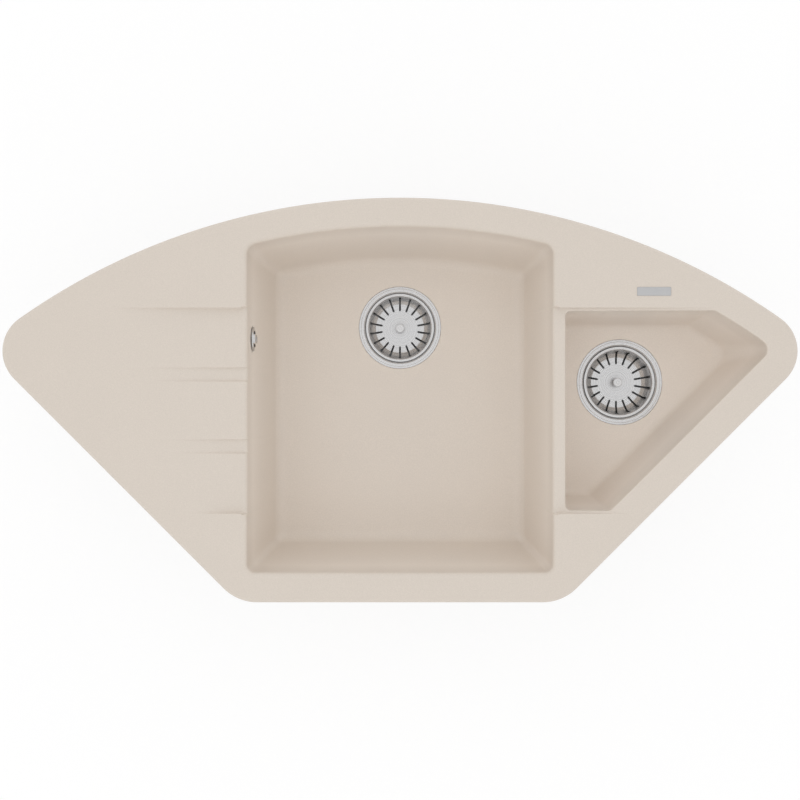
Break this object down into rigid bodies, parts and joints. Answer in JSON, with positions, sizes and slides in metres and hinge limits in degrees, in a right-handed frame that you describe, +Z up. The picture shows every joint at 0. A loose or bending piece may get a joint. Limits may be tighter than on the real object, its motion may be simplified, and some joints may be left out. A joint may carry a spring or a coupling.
{
  "type": "kitchen sink",
  "caption": "Drop-in corner kitchen sink in pale composite stone, with a main bowl, a half bowl, a drainer, basket strainer wastes, an overflow and rim clips.",
  "frame": {"origin": "middle of the outline's width and depth, on the worktop's surface, which is the plane of the rim's underside", "axes": "+X to the right along the width, +Y to the back towards the curved edge, +Z up out of the bowls"},
  "size_m": [0.9996, 0.509, 0.2914],
  "materials": {
    "composite_stone": "fine matt composite",
    "stainless_steel": "polished and turned",
    "chrome": "bright chrome",
    "black_rubber": "soft matt",
    "white_plastic": "moulded polypropylene",
    "grey_plastic": "moulded polyethylene",
    "brass": "turned",
    "zinc_plated_steel": "zinc plated"
  },
  "bodies": {
    "sink": {"sink_body": "composite_stone", "rim_seal": "black_rubber", "badge_plate": "chrome", "clip_inserts": "brass", "overflow_cover": "chrome", "overflow_screw": "chrome", "overflow_gasket": "black_rubber", "overflow_elbow": "white_plastic", "overflow_hose": "grey_plastic", "overflow_upper_nut": "grey_plastic", "overflow_lower_nut": "grey_plastic", "main_strainer_cup": "stainless_steel", "main_cup_gasket": "black_rubber", "main_lower_gasket": "black_rubber", "main_waste_body": "white_plastic", "main_clamp_screw": "stainless_steel", "main_waste_insert": "brass", "small_strainer_cup": "stainless_steel", "small_cup_gasket": "black_rubber", "small_lower_gasket": "black_rubber", "small_waste_body": "white_plastic", "small_clamp_screw": "stainless_steel", "small_waste_insert": "brass"},
    "main_stopper": {"main_stopper_pin": "stainless_steel"},
    "main_strainer": {"main_basket": "stainless_steel", "main_basket_knob": "stainless_steel", "main_stopper_seal": "black_rubber"},
    "small_stopper": {"small_stopper_pin": "stainless_steel"},
    "small_strainer": {"small_basket": "stainless_steel", "small_basket_knob": "stainless_steel", "small_stopper_seal": "black_rubber"},
    "clip_1_screw": {"clip_screw_1": "zinc_plated_steel"},
    "clip_1_claw": {"clip_claw_1": "zinc_plated_steel"},
    "clip_2_screw": {"clip_screw_2": "zinc_plated_steel"},
    "clip_2_claw": {"clip_claw_2": "zinc_plated_steel"},
    "clip_3_screw": {"clip_screw_3": "zinc_plated_steel"},
    "clip_3_claw": {"clip_claw_3": "zinc_plated_steel"},
    "clip_4_screw": {"clip_screw_4": "zinc_plated_steel"},
    "clip_4_claw": {"clip_claw_4": "zinc_plated_steel"},
    "clip_5_screw": {"clip_screw_5": "zinc_plated_steel"},
    "clip_5_claw": {"clip_claw_5": "zinc_plated_steel"},
    "clip_6_screw": {"clip_screw_6": "zinc_plated_steel"},
    "clip_6_claw": {"clip_claw_6": "zinc_plated_steel"}
  },
  "joints": [
    {"name": "main_strainer_lift", "type": "slide", "parent": "sink", "child": "main_stopper", "axis": [0, 0, 1], "range_m": [0, 0.25]},
    {"name": "main_strainer_spin", "type": "hinge", "parent": "main_stopper", "child": "main_strainer", "pos_m": [0, 0.1014, -0.193], "axis": [0, 0, 1], "continuous": true},
    {"name": "small_strainer_lift", "type": "slide", "parent": "sink", "child": "small_stopper", "axis": [0, 0, 1], "range_m": [0, 0.18]},
    {"name": "small_strainer_spin", "type": "hinge", "parent": "small_stopper", "child": "small_strainer", "pos_m": [0.2955, 0.0239, -0.117], "axis": [0, 0, 1], "continuous": true},
    {"name": "clip_1_travel", "type": "slide", "parent": "sink", "child": "clip_1_screw", "axis": [0, 0, 1], "range_m": [-0.01, 0.01]},
    {"name": "clip_1_swing", "type": "hinge", "parent": "clip_1_screw", "child": "clip_1_claw", "pos_m": [0.215, 0.20339, -0.05], "axis": [0, 0, 1], "range_deg": [-90, 90]},
    {"name": "clip_2_travel", "type": "slide", "parent": "sink", "child": "clip_2_screw", "axis": [0, 0, 1], "range_m": [-0.01, 0.01]},
    {"name": "clip_2_swing", "type": "hinge", "parent": "clip_2_screw", "child": "clip_2_claw", "pos_m": [-0.215, 0.20339, -0.05], "axis": [0, 0, 1], "range_deg": [-90, 90]},
    {"name": "clip_3_travel", "type": "slide", "parent": "sink", "child": "clip_3_screw", "axis": [0, 0, 1], "range_m": [-0.01, 0.01]},
    {"name": "clip_3_swing", "type": "hinge", "parent": "clip_3_screw", "child": "clip_3_claw", "pos_m": [0.33816, -0.08973, -0.05], "axis": [0, 0, 1], "range_deg": [-90, 90]},
    {"name": "clip_4_travel", "type": "slide", "parent": "sink", "child": "clip_4_screw", "axis": [0, 0, 1], "range_m": [-0.01, 0.01]},
    {"name": "clip_4_swing", "type": "hinge", "parent": "clip_4_screw", "child": "clip_4_claw", "pos_m": [-0.33816, -0.08973, -0.05], "axis": [0, 0, 1], "range_deg": [-90, 90]},
    {"name": "clip_5_travel", "type": "slide", "parent": "sink", "child": "clip_5_screw", "axis": [0, 0, 1], "range_m": [-0.01, 0.01]},
    {"name": "clip_5_swing", "type": "hinge", "parent": "clip_5_screw", "child": "clip_5_claw", "pos_m": [0.12, -0.2325, -0.05], "axis": [0, 0, 1], "range_deg": [-90, 90]},
    {"name": "clip_6_travel", "type": "slide", "parent": "sink", "child": "clip_6_screw", "axis": [0, 0, 1], "range_m": [-0.01, 0.01]},
    {"name": "clip_6_swing", "type": "hinge", "parent": "clip_6_screw", "child": "clip_6_claw", "pos_m": [-0.12, -0.2325, -0.05], "axis": [0, 0, 1], "range_deg": [-90, 90]}
  ]
}
